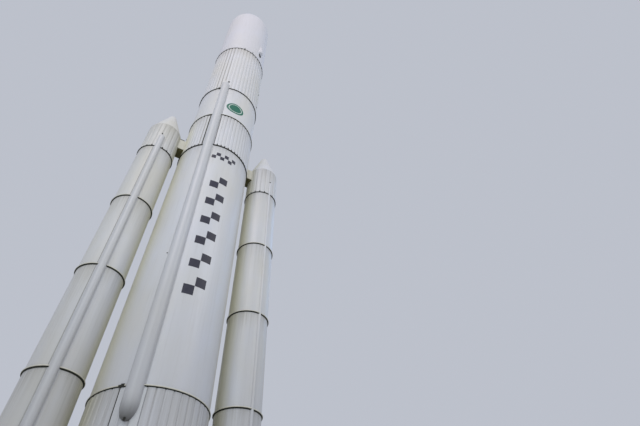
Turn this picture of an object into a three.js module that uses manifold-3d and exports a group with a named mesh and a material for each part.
// Space rocket with a ribbed core, two strap-on boosters and an opening payload fairing.
// It is a scale model at 1:2. Every dimension below is the full-size one in metres, and
// mm() turns it into millimetres of the model.
// +Z is up, +X points to the right booster, and -Y is the side of the feed-line duct.
// The origin is on the core's axis, at the launch table that the boosters stand on.
import * as THREE from 'three';
import { mergeVertices } from 'three/addons/utils/BufferGeometryUtils.js';
import Module from 'manifold-3d';

const wasm = await Module();
wasm.setup();

// Scale and fits
const MODEL_MM_PER_METRE = 500;
const mm = (metres) => metres * MODEL_MM_PER_METRE;
const SEAT_GAP = 0.3 / MODEL_MM_PER_METRE;
const RUNNING_GAP = 5 / MODEL_MM_PER_METRE;
const PIN_GAP = 0.8 / MODEL_MM_PER_METRE;
const CUT_MARGIN = 1;
const CORE_SIDES = 52;
const BOOSTER_SIDES = 32;
const PIN_SIDES = 16;
const SMALL_SIDES = 16;

// Core stack, heights of the joints above the launch table
const CORE_RADIUS = 2.0;
const FAIRING_BASE = 37.34;
const UPPER_JOINT = 29.53;
const MIDDLE_JOINT = 25.71;
const LOWER_JOINT = 22.18;
const SKIRT_JOINT = 8.06;
const SKIRT_BOTTOM = 2.0;
const SKIRT_WALL = 0.1;

// Ring flange under each section and the dark recess below it
const FLANGE_REACH = 0.06;
const FLANGE_HEIGHT = 0.04;
const RECESS_DEPTH = 0.03;
const RECESS_HEIGHT = 0.06;

// Pressed ribs of the corrugated sections, half above and half below the skin line.
// Each section has its own number of ribs, and one of them stands at the crest angle.
const RIB_RISE = 0.018;
const UPPER_RIBS = { count: 48, crest: -88 };
const INTERSTAGE_RIBS = { count: 58, crest: -88.8 };
const SKIRT_RIBS = { count: 45, crest: -88 };
const BOOSTER_RIBS = { count: 20, crest: 0 };

// Payload fairing: a cylinder, an ogive shoulder and a round cap
const FAIRING_WALL = 0.04;
const SHOULDER_BASE = 46.7;
const SHOULDER_RADIUS = 3.0;
const CAP_RADIUS = 1.2;
const HINGE_OFFSET_X = 0.35;
const HINGE_REACH = 0.06;
const HINGE_RISE = 0.06;
const EAR_THICKNESS = 0.03;
const KNUCKLE_LENGTH = 0.06;
const KNUCKLE_RADIUS = 0.035;
const HINGE_PIN_RADIUS = 0.014;
const HINGE_SIDE_GAP = 0.005;

// Vent hoods on the fairing
const VENT_ANGLE = -56;
const VENT_BOTTOM = 38.95;
const VENT_TOP = 40.6;
const VENT_RADIUS = 0.21;
const VENT_TIP_RADIUS = 0.1;
const VENT_WALL = 0.03;

// Ducts along the core
const DUCT_ANGLE = -118.5;
const DUCT_RADIUS = 0.275;
const DUCT_TOP = 30.47;
const DUCT_BOTTOM = 7.0;
const TUNNEL_ANGLE = 62;
const TUNNEL_RADIUS = 0.155;
const TUNNEL_TOP = 30.47;
const TUNNEL_BOTTOM = 3.0;

// Payload adapter on the deck under the fairing
const ADAPTER_BASE_RADIUS = 1.3;
const ADAPTER_TOP_RADIUS = 0.62;
const ADAPTER_HEIGHT = 1.1;
const ADAPTER_WALL = 0.06;

// Boosters
const BOOSTER_SPACING = 3.218;
const BOOSTER_RADIUS = 0.9;
const BOOSTER_JOINTS = [21.25, 16.96, 12.74, 8.51, 4.28];
const CONE_BASE = 23.67;
const CONE_TOP = 25.99;
const CONE_TIP_RADIUS = 0.22;
const BOOSTER_FLANGE_REACH = 0.05;
const WIDE_RACEWAY_ANGLE = 83;
const WIDE_RACEWAY_RADIUS = 0.155;
const NARROW_RACEWAY_ANGLE = -78.5;
const NARROW_RACEWAY_RADIUS = 0.06;
const RACEWAY_TOP = 22.4;
const RACEWAY_BOTTOM = 2.6;

// Booster aft skirt: closed above the nozzle, flared to the base ring that stands on the table
const FLARE_TOP = 2.2;
const FLARE_RADIUS = 1.14;
const BASE_RING_RADIUS = 1.2;
const BASE_RING_HEIGHT = 0.14;
const AFT_SKIRT_WALL = 0.08;
const AFT_SKIRT_CEILING = 3.4;

// Beams that carry each booster
const FORWARD_BEAM = {
  halfWidth: 0.355, bottom: 22.7, top: 23.6, coreRibs: INTERSTAGE_RIBS, boosterRibs: BOOSTER_RIBS,
};
const AFT_BEAM = { halfWidth: 0.22, bottom: 5.1, top: 5.6, coreRibs: SKIRT_RIBS, boosterRibs: null };
const BEAM_OVERLAP = 0.2;

// Main engine
const MAIN_PIVOT = 4.9;
const THRUST_FRAME_BOTTOM = 5.5;
const THRUST_FRAME_TOP = 5.85;
const THRUST_BEAM_WIDTH = 0.26;
const THRUST_HUB_RADIUS = 0.62;
const POWERHEAD_RADIUS = 0.55;
const POWERHEAD_TOP = 4.45;
const POWERHEAD_BOTTOM = 3.6;
const MAIN_THROAT = { z: 3.0, radius: 0.17 };
const MAIN_CHAMBER_RADIUS = 0.27;
const MAIN_EXIT = { z: 0.3, radius: 0.9 };
const BELL_WALL = 0.03;
const BELL_FULLNESS = 1.9;
const BELL_HOOPS = [2.3, 1.5, 0.8];
const HOOP_HEIGHT = 0.05;
const HOOP_RISE = 0.02;
const HEAT_SHIELD_BOTTOM = 2.3;
const HEAT_SHIELD_THICKNESS = 0.08;
const HEAT_SHIELD_HOLE = 1.2;

// Booster nozzle
const BOOSTER_PIVOT = 2.75;
const COLLAR_TOP = 2.5;
const COLLAR_RADIUS = 0.4;
const COLLAR_HEIGHT = 0.12;
const BOOSTER_STUB_RADIUS = 0.28;
const BOOSTER_THROAT = { z: 2.1, radius: 0.2 };
const BOOSTER_EXIT = { z: 0.3, radius: 0.62 };

// Gimbal rings: one pair of pins along X in the fixed ears, one pair along Y in the moving ears
const MAIN_GIMBAL = { outer: 0.34, inner: 0.22, height: 0.12, pin: 0.04, ear: 0.08, earWidth: 0.2 };
const BOOSTER_GIMBAL = { outer: 0.27, inner: 0.17, height: 0.1, pin: 0.03, ear: 0.06, earWidth: 0.16 };
const GIMBAL_SIDE_GAP = 0.02;
const EAR_PAST_PIN = 0.09;
const EAR_ROOT = 0.06;

// Finishes
function finish(name, color, roughness, metalness) {
  const material = new THREE.MeshStandardMaterial({ color, roughness, metalness });
  material.name = name;
  return material;
}
const PAINT = () => finish('white_paint', 0xd9d7cd, 0.55, 0);
const DARK_STEEL = () => finish('dark_steel', 0x5d5f61, 0.5, 0.8);
const ENGINE_ALLOY = () => finish('engine_alloy', 0x8a857c, 0.4, 0.9);
const CARBON = () => finish('carbon_phenolic', 0x2b2a29, 0.8, 0);
const INSULATION = () => finish('insulation', 0xb9a987, 0.8, 0);

// Solids. A geometry becomes a closed solid with its faces pointing out.
function solid(geometry) {
  const bare = geometry.clone();
  bare.deleteAttribute('normal');
  bare.deleteAttribute('uv');
  const merged = mergeVertices(bare, 1e-3);
  const points = merged.attributes.position.array;
  const corners = merged.index.array;
  const kept = [];
  let volume = 0;
  const a = new THREE.Vector3();
  const b = new THREE.Vector3();
  const c = new THREE.Vector3();
  for (let i = 0; i < corners.length; i += 3) {
    const [p, q, r] = [corners[i], corners[i + 1], corners[i + 2]];
    if (p === q || q === r || r === p) continue;
    kept.push([p, q, r]);
    a.fromArray(points, p * 3);
    b.fromArray(points, q * 3);
    c.fromArray(points, r * 3);
    volume += a.dot(b.cross(c)) / 6;
  }
  const faces = kept.map(([p, q, r]) => (volume < 0 ? [p, r, q] : [p, q, r]));
  return new wasm.Manifold(new wasm.Mesh({
    numProp: 3,
    vertProperties: new Float32Array(points),
    triVerts: new Uint32Array(faces.flat()),
  }));
}

// A solid of revolution about Z. The profile is a list of [radius, height] in metres.
function turned(profile, sides) {
  const closed = profile[0][0] > 0 ? [...profile, profile[0]] : profile;
  const points = closed.map(([radius, z]) => new THREE.Vector2(mm(radius), mm(z)));
  return solid(new THREE.LatheGeometry(points, sides).rotateX(Math.PI / 2));
}

// A box between two corners, in metres.
function block([x0, y0, z0], [x1, y1, z1]) {
  const geometry = new THREE.BoxGeometry(mm(x1 - x0), mm(y1 - y0), mm(z1 - z0));
  geometry.translate(mm((x0 + x1) / 2), mm((y0 + y1) / 2), mm((z0 + z1) / 2));
  return solid(geometry);
}

// A round bar along X or Y, centred at a point, in metres.
function bar(axis, radius, length, [x, y, z]) {
  const geometry = new THREE.CylinderGeometry(mm(radius), mm(radius), mm(length), PIN_SIDES);
  if (axis === 'x') geometry.rotateZ(Math.PI / 2);
  geometry.translate(mm(x), mm(y), mm(z));
  return solid(geometry);
}

// A plain disc or cylinder about Z.
function drum(radius, bottom, top, sides) {
  return turned([[0, bottom], [radius, bottom], [radius, top], [0, top]], sides);
}

// A pill standing on Z, round at both ends.
function pill(radius, bottom, top) {
  const steps = 4;
  const profile = [];
  for (let i = 0; i <= steps; i++) {
    const angle = (i / steps) * Math.PI / 2;
    profile.push([radius * Math.sin(angle), bottom + radius * (1 - Math.cos(angle))]);
  }
  for (let i = steps; i >= 0; i--) {
    const angle = (i / steps) * Math.PI / 2;
    profile.push([radius * Math.sin(angle), top - radius * (1 - Math.cos(angle))]);
  }
  return turned(profile, SMALL_SIDES);
}

const onSkin = (radius, degrees) => {
  const angle = THREE.MathUtils.degToRad(degrees);
  return [mm(radius * Math.cos(angle)), mm(radius * Math.sin(angle)), 0];
};

// A drum with pressed ribs: each rib is a crest and a valley.
function ribbedDrum(radius, { count, crest }, bottom, top) {
  const points = [];
  for (let i = 0; i < 2 * count; i++) {
    const angle = (i / count) * Math.PI + THREE.MathUtils.degToRad(crest);
    const reach = mm(i % 2 === 0 ? radius + RIB_RISE : radius - RIB_RISE);
    points.push(new THREE.Vector2(reach * Math.cos(angle), reach * Math.sin(angle)));
  }
  const depth = mm(top - bottom);
  const geometry = new THREE.ExtrudeGeometry(new THREE.Shape(points), { depth, bevelEnabled: false });
  return solid(geometry.translate(0, 0, mm(bottom)));
}

// A section of a stack: a recess at its top, its body, and a flange at its foot.
function section({ radius, reach, sides, ribs, bottom, top }) {
  const foot = bottom + FLANGE_HEIGHT;
  const neck = top - RECESS_HEIGHT;
  if (!ribs) {
    return turned([
      [0, bottom], [radius + reach, bottom], [radius + reach, foot], [radius, foot],
      [radius, neck], [radius - RECESS_DEPTH, neck], [radius - RECESS_DEPTH, top - SEAT_GAP],
      [0, top - SEAT_GAP],
    ], sides);
  }
  return ribbedDrum(radius, ribs, foot, neck)
    .add(drum(radius + reach, bottom, foot, sides))
    .add(drum(radius - RECESS_DEPTH, bottom, top - SEAT_GAP, sides));
}

// What a raceway takes out of the flanges and ribs that it crosses: its own form and a seat gap.
function racewayNotch(radius, degrees, bottom, top, bodyRadius, sides) {
  return pill(radius + SEAT_GAP, bottom - SEAT_GAP, top + SEAT_GAP)
    .translate(onSkin(bodyRadius, degrees))
    .subtract(drum(bodyRadius, bottom - CUT_MARGIN, top + CUT_MARGIN, sides));
}
function raceway(radius, degrees, bottom, top, bodyRadius, sides) {
  return pill(radius, bottom, top)
    .translate(onSkin(bodyRadius, degrees))
    .subtract(drum(bodyRadius + SEAT_GAP, bottom - CUT_MARGIN, top + CUT_MARGIN, sides));
}

// Every finished piece is a named mesh in its group.
function piece(group, name, body, material) {
  const { vertProperties, triVerts } = body.getMesh();
  const geometry = new THREE.BufferGeometry();
  geometry.setAttribute('position', new THREE.BufferAttribute(new Float32Array(vertProperties), 3));
  geometry.setIndex(new THREE.BufferAttribute(new Uint32Array(triVerts), 1));
  geometry.computeVertexNormals();
  const mesh = new THREE.Mesh(geometry, material);
  mesh.name = name;
  group.add(mesh);
}

// Gimbal: a ring with four pins, and the two pairs of ears that take them.
function gimbalRing({ outer, inner, height, pin, ear }, z) {
  const reach = outer + GIMBAL_SIDE_GAP + ear;
  const hub = turned([
    [inner, z - height / 2], [outer, z - height / 2], [outer, z + height / 2], [inner, z + height / 2],
  ], SMALL_SIDES);
  const pinLength = reach - inner - GIMBAL_SIDE_GAP;
  const middle = inner + GIMBAL_SIDE_GAP + pinLength / 2;
  return hub
    .add(bar('x', pin, pinLength, [middle, 0, z]))
    .add(bar('x', pin, pinLength, [-middle, 0, z]))
    .add(bar('y', pin, pinLength, [0, middle, z]))
    .add(bar('y', pin, pinLength, [0, -middle, z]));
}

function gimbalEars({ outer, pin, ear, earWidth }, axis, pivot, from, to) {
  const near = outer + GIMBAL_SIDE_GAP;
  const half = earWidth / 2;
  const hole = bar(axis, pin + PIN_GAP, 2 * (near + ear) + CUT_MARGIN, [0, 0, pivot]);
  const ears = [-1, 1].map((side) => {
    const low = Math.min(side * near, side * (near + ear));
    const high = Math.max(side * near, side * (near + ear));
    return axis === 'x'
      ? block([low, -half, from], [high, half, to])
      : block([-half, low, from], [half, high, to]);
  });
  return ears[0].add(ears[1]).subtract(hole);
}

// A bell's outer radius at a height: it opens quickly below the throat and then straightens.
function bellRadius(throat, exit, z) {
  const along = (throat.z - z) / (throat.z - exit.z);
  return throat.radius + (exit.radius - throat.radius) * (1 - (1 - along) ** BELL_FULLNESS);
}

// A hollow bell, with a chamber stub that reaches halfway down to the throat.
function bell(throat, exit, stubRadius, stubTop, sides) {
  const steps = 8;
  const stubFoot = (throat.z + stubTop) / 2;
  const inner = [];
  for (let i = 0; i <= steps; i++) {
    const z = throat.z + (exit.z - throat.z) * (i / steps);
    inner.push([bellRadius(throat, exit, z) - BELL_WALL, z]);
  }
  const outer = inner.map(([radius, z]) => [radius + BELL_WALL, z]);
  return turned([
    [0, stubTop], [stubRadius, stubTop], [stubRadius, stubFoot],
    ...outer, ...inner.reverse(), [0, throat.z],
  ], sides);
}

// Core: the stack of barrels
const rocket = new THREE.Group();
const coreSections = [
  { name: 'upper_ribbed_barrel', top: FAIRING_BASE, bottom: UPPER_JOINT, ribs: UPPER_RIBS },
  { name: 'upper_smooth_barrel', top: UPPER_JOINT, bottom: MIDDLE_JOINT, ribs: null },
  { name: 'interstage_barrel', top: MIDDLE_JOINT, bottom: LOWER_JOINT, ribs: INTERSTAGE_RIBS },
  { name: 'main_tank_barrel', top: LOWER_JOINT, bottom: SKIRT_JOINT, ribs: null },
  { name: 'engine_skirt', top: SKIRT_JOINT, bottom: SKIRT_BOTTOM, ribs: SKIRT_RIBS },
];
const ductNotch = racewayNotch(DUCT_RADIUS, DUCT_ANGLE, DUCT_BOTTOM, DUCT_TOP, CORE_RADIUS, CORE_SIDES);
const tunnelNotch = racewayNotch(
  TUNNEL_RADIUS, TUNNEL_ANGLE, TUNNEL_BOTTOM, TUNNEL_TOP, CORE_RADIUS, CORE_SIDES,
);

// Fixed half of a fairing hinge: two ears on the top flange with a pin between them.
const hingeAxisZ = FAIRING_BASE + HINGE_RISE;
const hingeAxisY = CORE_RADIUS + HINGE_REACH;
function hingeEars(x, side) {
  const inner = KNUCKLE_LENGTH / 2 + HINGE_SIDE_GAP;
  const outer = inner + EAR_THICKNESS;
  const y = side * hingeAxisY;
  const low = FAIRING_BASE - FLANGE_HEIGHT;
  const high = hingeAxisZ + KNUCKLE_RADIUS;
  const ear = (from, to) => block(
    [x + from, y - KNUCKLE_RADIUS, low],
    [x + to, y + KNUCKLE_RADIUS, high],
  );
  return ear(-outer, -inner)
    .add(ear(inner, outer))
    .add(bar('x', HINGE_PIN_RADIUS, 2 * outer, [x, y, hingeAxisZ]));
}
function hingeKnuckle(x, side) {
  const half = KNUCKLE_LENGTH / 2;
  const y = side * hingeAxisY;
  const skin = side * (CORE_RADIUS - FAIRING_WALL);
  const arm = block(
    [x - half, Math.min(y, skin), hingeAxisZ - KNUCKLE_RADIUS + PIN_GAP],
    [x + half, Math.max(y, skin), hingeAxisZ + KNUCKLE_RADIUS],
  );
  return arm
    .add(bar('x', KNUCKLE_RADIUS, KNUCKLE_LENGTH, [x, y, hingeAxisZ]))
    .subtract(bar('x', HINGE_PIN_RADIUS + PIN_GAP, KNUCKLE_LENGTH + CUT_MARGIN, [x, y, hingeAxisZ]));
}

for (const { name, top, bottom, ribs } of coreSections) {
  let body = section({
    radius: CORE_RADIUS, reach: FLANGE_REACH, sides: CORE_SIDES, ribs, bottom, top,
  });
  if (name === 'upper_ribbed_barrel') {
    body = body.add(drum(CORE_RADIUS + FLANGE_REACH, top - FLANGE_HEIGHT, top, CORE_SIDES));
    for (const x of [-HINGE_OFFSET_X, HINGE_OFFSET_X]) {
      for (const side of [-1, 1]) body = body.add(hingeEars(x, side));
    }
  }
  if (name === 'engine_skirt') {
    body = body.subtract(
      drum(CORE_RADIUS - SKIRT_WALL, bottom - CUT_MARGIN, top + CUT_MARGIN, CORE_SIDES),
    );
  }
  piece(rocket, name, body.subtract(ductNotch).subtract(tunnelNotch), PAINT());
}
piece(rocket, 'feed_line_duct',
  raceway(DUCT_RADIUS, DUCT_ANGLE, DUCT_BOTTOM, DUCT_TOP, CORE_RADIUS, CORE_SIDES), PAINT());
piece(rocket, 'cable_tunnel',
  raceway(TUNNEL_RADIUS, TUNNEL_ANGLE, TUNNEL_BOTTOM, TUNNEL_TOP, CORE_RADIUS, CORE_SIDES), PAINT());

// Payload fairing: two half shells that meet on the plane Y = 0
function fairingContour(inset) {
  const shoulder = SHOULDER_RADIUS - inset;
  const cap = CAP_RADIUS - inset;
  const centre = CORE_RADIUS - SHOULDER_RADIUS;
  const capCentre = SHOULDER_BASE + Math.sqrt((shoulder - cap) ** 2 - centre ** 2);
  const meet = Math.atan2(capCentre - SHOULDER_BASE, -centre);
  const shoulderSteps = 6;
  const capSteps = 5;
  const contour = [];
  for (let i = 0; i <= shoulderSteps; i++) {
    const angle = (i / shoulderSteps) * meet;
    contour.push([centre + shoulder * Math.cos(angle), SHOULDER_BASE + shoulder * Math.sin(angle)]);
  }
  for (let i = 1; i <= capSteps; i++) {
    const angle = meet + (i / capSteps) * (Math.PI / 2 - meet);
    contour.push([Math.max(0, cap * Math.cos(angle)), capCentre + cap * Math.sin(angle)]);
  }
  contour[contour.length - 1][0] = 0;
  return contour;
}
const fairingFoot = FAIRING_BASE + RUNNING_GAP;
const fairingShell = turned([
  ...fairingContour(FAIRING_WALL).reverse(),
  [CORE_RADIUS - FAIRING_WALL, fairingFoot],
  [CORE_RADIUS, fairingFoot],
  ...fairingContour(0),
], CORE_SIDES);

// Vent hood: a long half-round scoop that tapers upwards to a round tip, open below
function ventHood(degrees) {
  const scoop = (inset, low) => turned([
    [0, low],
    [VENT_RADIUS - inset, low],
    [VENT_TIP_RADIUS - inset, VENT_TOP - VENT_TIP_RADIUS],
    [(VENT_TIP_RADIUS - inset) * Math.SQRT1_2, VENT_TOP - inset - VENT_TIP_RADIUS * (1 - Math.SQRT1_2)],
    [0, VENT_TOP - inset],
  ], SMALL_SIDES);
  return scoop(0, VENT_BOTTOM).subtract(scoop(VENT_WALL, VENT_BOTTOM - CUT_MARGIN))
    .translate(onSkin(CORE_RADIUS, degrees))
    .subtract(drum(CORE_RADIUS + SEAT_GAP, VENT_BOTTOM - CUT_MARGIN, VENT_TOP + CUT_MARGIN, CORE_SIDES));
}
const fairingHalves = [
  { name: 'front', side: -1, ventAngle: VENT_ANGLE },
  { name: 'rear', side: 1, ventAngle: VENT_ANGLE + 180 },
];
for (const { name, side, ventAngle } of fairingHalves) {
  const near = side * RUNNING_GAP / 2;
  const far = side * (CORE_RADIUS + CUT_MARGIN);
  const keep = block(
    [-CORE_RADIUS - CUT_MARGIN, Math.min(near, far), FAIRING_BASE],
    [CORE_RADIUS + CUT_MARGIN, Math.max(near, far), SHOULDER_BASE + SHOULDER_RADIUS],
  );
  const half = fairingShell.intersect(keep)
    .add(hingeKnuckle(-HINGE_OFFSET_X, side))
    .add(hingeKnuckle(HINGE_OFFSET_X, side));
  piece(rocket, `fairing_half_${name}`, half, PAINT());
  piece(rocket, `fairing_vent_${name}`, ventHood(ventAngle), PAINT());
}

// Payload adapter: a hollow cone with a flat ring on top
const adapterFoot = FAIRING_BASE + SEAT_GAP;
const adapterTop = adapterFoot + ADAPTER_HEIGHT;
piece(rocket, 'payload_adapter', turned([
  [ADAPTER_BASE_RADIUS - ADAPTER_WALL, adapterFoot],
  [ADAPTER_BASE_RADIUS + ADAPTER_WALL, adapterFoot],
  [ADAPTER_BASE_RADIUS + ADAPTER_WALL, adapterFoot + ADAPTER_WALL],
  [ADAPTER_BASE_RADIUS, adapterFoot + ADAPTER_WALL],
  [ADAPTER_TOP_RADIUS, adapterTop - ADAPTER_WALL],
  [ADAPTER_TOP_RADIUS + ADAPTER_WALL, adapterTop - ADAPTER_WALL],
  [ADAPTER_TOP_RADIUS + ADAPTER_WALL, adapterTop],
  [ADAPTER_TOP_RADIUS - ADAPTER_WALL, adapterTop],
], BOOSTER_SIDES), ENGINE_ALLOY());

// Base of the core: thrust frame, heat shield and main engine
const skirtInside = CORE_RADIUS - SKIRT_WALL - SEAT_GAP;
const beamHalf = THRUST_BEAM_WIDTH / 2;
const thrustBeam = (halfX, halfY) => block(
  [-halfX, -halfY, THRUST_FRAME_BOTTOM],
  [halfX, halfY, THRUST_FRAME_TOP],
);
const thrustCross = thrustBeam(CORE_RADIUS, beamHalf)
  .add(thrustBeam(beamHalf, CORE_RADIUS))
  .intersect(drum(skirtInside, SKIRT_BOTTOM, SKIRT_JOINT, CORE_SIDES));
const thrustHub = drum(THRUST_HUB_RADIUS, THRUST_FRAME_BOTTOM, THRUST_FRAME_TOP, SMALL_SIDES);
const thrustEars = gimbalEars(
  MAIN_GIMBAL, 'x', MAIN_PIVOT, MAIN_PIVOT - EAR_PAST_PIN, THRUST_FRAME_BOTTOM + EAR_ROOT,
);
piece(rocket, 'thrust_frame', thrustCross.add(thrustHub).add(thrustEars), DARK_STEEL());
piece(rocket, 'base_heat_shield', turned([
  [HEAT_SHIELD_HOLE, HEAT_SHIELD_BOTTOM], [skirtInside, HEAT_SHIELD_BOTTOM],
  [skirtInside, HEAT_SHIELD_BOTTOM + HEAT_SHIELD_THICKNESS],
  [HEAT_SHIELD_HOLE, HEAT_SHIELD_BOTTOM + HEAT_SHIELD_THICKNESS],
], CORE_SIDES), INSULATION());
piece(rocket, 'main_engine_gimbal_ring', gimbalRing(MAIN_GIMBAL, MAIN_PIVOT), DARK_STEEL());
const powerheadEars = gimbalEars(
  MAIN_GIMBAL, 'y', MAIN_PIVOT, POWERHEAD_TOP - EAR_ROOT, MAIN_PIVOT + EAR_PAST_PIN,
);
const powerhead = drum(POWERHEAD_RADIUS, POWERHEAD_BOTTOM, POWERHEAD_TOP, BOOSTER_SIDES);
piece(rocket, 'main_engine_powerhead', powerhead.add(powerheadEars), DARK_STEEL());
let mainBell = bell(
  MAIN_THROAT, MAIN_EXIT, MAIN_CHAMBER_RADIUS, POWERHEAD_BOTTOM - SEAT_GAP, BOOSTER_SIDES,
);
for (const z of BELL_HOOPS) {
  const radius = bellRadius(MAIN_THROAT, MAIN_EXIT, z);
  const [low, high] = [z - HOOP_HEIGHT / 2, z + HOOP_HEIGHT / 2];
  mainBell = mainBell.add(turned([
    [radius - BELL_WALL / 2, low], [radius + HOOP_RISE, low],
    [radius + HOOP_RISE, high], [radius - BELL_WALL / 2, high],
  ], BOOSTER_SIDES));
}
piece(rocket, 'main_engine_nozzle', mainBell, ENGINE_ALLOY());

// A beam between the core and a booster, cut to the core's ribs and to the booster's skin.
// It is built on the right, so the core's ribs are turned back by the booster's own turn.
function carrierBeam({ halfWidth, bottom, top, coreRibs, boosterRibs }, turn) {
  const [low, high] = [bottom - CUT_MARGIN, top + CUT_MARGIN];
  const coreCut = ribbedDrum(CORE_RADIUS + SEAT_GAP, coreRibs, low, high).rotate([0, 0, -turn]);
  const boosterSkin = BOOSTER_RADIUS + SEAT_GAP;
  const boosterCut = (boosterRibs
    ? ribbedDrum(boosterSkin, boosterRibs, low, high)
    : drum(boosterSkin, low, high, BOOSTER_SIDES)
  ).translate([mm(BOOSTER_SPACING), 0, 0]);
  return block(
    [CORE_RADIUS - BEAM_OVERLAP, -halfWidth, bottom],
    [BOOSTER_SPACING - BOOSTER_RADIUS + BEAM_OVERLAP, halfWidth, top],
  ).subtract(coreCut).subtract(boosterCut);
}

// Booster: built about its own axis, then set beside the core. The left one is turned half round.
function booster(prefix, turn) {
  const group = new THREE.Group();
  const stack = new THREE.Group();
  stack.position.x = mm(BOOSTER_SPACING);
  group.add(stack);
  const notches = racewayNotch(WIDE_RACEWAY_RADIUS, WIDE_RACEWAY_ANGLE, RACEWAY_BOTTOM, RACEWAY_TOP,
    BOOSTER_RADIUS, BOOSTER_SIDES)
    .add(racewayNotch(NARROW_RACEWAY_RADIUS, NARROW_RACEWAY_ANGLE, RACEWAY_BOTTOM, RACEWAY_TOP,
      BOOSTER_RADIUS, BOOSTER_SIDES));

  const coneReach = BOOSTER_RADIUS + RIB_RISE;
  const tipCentre = CONE_TOP - CONE_TIP_RADIUS;
  const slant = Math.hypot(coneReach, tipCentre - CONE_BASE);
  const halfAngle = Math.atan2(coneReach, tipCentre - CONE_BASE) - Math.asin(CONE_TIP_RADIUS / slant);
  const cone = [[0, CONE_BASE + SEAT_GAP], [coneReach, CONE_BASE + SEAT_GAP]];
  const tipSteps = 3;
  for (let i = 0; i <= tipSteps; i++) {
    const angle = halfAngle + (i / tipSteps) * (Math.PI / 2 - halfAngle);
    const radius = i === tipSteps ? 0 : CONE_TIP_RADIUS * Math.cos(angle);
    cone.push([radius, tipCentre + CONE_TIP_RADIUS * Math.sin(angle)]);
  }
  piece(stack, `${prefix}_nose_cone`, turned(cone, BOOSTER_SIDES), PAINT());

  const [skirtFoot] = BOOSTER_JOINTS;
  const forwardSkirt = ribbedDrum(BOOSTER_RADIUS, BOOSTER_RIBS, skirtFoot, CONE_BASE)
    .add(drum(BOOSTER_RADIUS + BOOSTER_FLANGE_REACH, skirtFoot, skirtFoot + FLANGE_HEIGHT, BOOSTER_SIDES));
  piece(stack, `${prefix}_forward_skirt`, forwardSkirt.subtract(notches), PAINT());

  for (let i = 0; i + 1 < BOOSTER_JOINTS.length; i++) {
    const body = section({
      radius: BOOSTER_RADIUS, reach: BOOSTER_FLANGE_REACH, sides: BOOSTER_SIDES,
      ribs: null, bottom: BOOSTER_JOINTS[i + 1], top: BOOSTER_JOINTS[i],
    });
    piece(stack, `${prefix}_segment_${i + 1}`, body.subtract(notches), PAINT());
  }

  const aftTop = BOOSTER_JOINTS[BOOSTER_JOINTS.length - 1] - SEAT_GAP;
  const inside = BOOSTER_RADIUS - AFT_SKIRT_WALL;
  const aftSkirt = turned([
    [0, aftTop], [BOOSTER_RADIUS - RECESS_DEPTH, aftTop],
    [BOOSTER_RADIUS - RECESS_DEPTH, aftTop - RECESS_HEIGHT], [BOOSTER_RADIUS, aftTop - RECESS_HEIGHT],
    [BOOSTER_RADIUS, FLARE_TOP], [FLARE_RADIUS, BASE_RING_HEIGHT], [BASE_RING_RADIUS, BASE_RING_HEIGHT],
    [BASE_RING_RADIUS, 0], [FLARE_RADIUS - AFT_SKIRT_WALL, 0], [inside, FLARE_TOP],
    [inside, AFT_SKIRT_CEILING], [0, AFT_SKIRT_CEILING],
  ], BOOSTER_SIDES);
  const fixedEars = gimbalEars(
    BOOSTER_GIMBAL, 'x', BOOSTER_PIVOT, BOOSTER_PIVOT - EAR_PAST_PIN, AFT_SKIRT_CEILING + EAR_ROOT,
  );
  piece(stack, `${prefix}_aft_skirt`, aftSkirt.add(fixedEars).subtract(notches), PAINT());
  piece(stack, `${prefix}_gimbal_ring`, gimbalRing(BOOSTER_GIMBAL, BOOSTER_PIVOT), DARK_STEEL());

  const collar = drum(COLLAR_RADIUS, COLLAR_TOP - COLLAR_HEIGHT, COLLAR_TOP, SMALL_SIDES);
  const nozzleBell = bell(
    BOOSTER_THROAT, BOOSTER_EXIT, BOOSTER_STUB_RADIUS, COLLAR_TOP - EAR_ROOT, BOOSTER_SIDES,
  );
  const movingEars = gimbalEars(
    BOOSTER_GIMBAL, 'y', BOOSTER_PIVOT, COLLAR_TOP - EAR_ROOT, BOOSTER_PIVOT + EAR_PAST_PIN,
  );
  piece(stack, `${prefix}_nozzle`, nozzleBell.add(collar).add(movingEars), CARBON());

  piece(stack, `${prefix}_wide_raceway`, raceway(WIDE_RACEWAY_RADIUS, WIDE_RACEWAY_ANGLE,
    RACEWAY_BOTTOM, RACEWAY_TOP, BOOSTER_RADIUS, BOOSTER_SIDES), PAINT());
  piece(stack, `${prefix}_narrow_raceway`, raceway(NARROW_RACEWAY_RADIUS, NARROW_RACEWAY_ANGLE,
    RACEWAY_BOTTOM, RACEWAY_TOP, BOOSTER_RADIUS, BOOSTER_SIDES), PAINT());
  piece(group, `${prefix}_forward_beam`, carrierBeam(FORWARD_BEAM, turn), PAINT());
  piece(group, `${prefix}_aft_beam`, carrierBeam(AFT_BEAM, turn), PAINT());
  group.rotation.z = THREE.MathUtils.degToRad(turn);
  return group;
}
rocket.add(booster('right_booster', 0));
rocket.add(booster('left_booster', 180));

export default rocket;
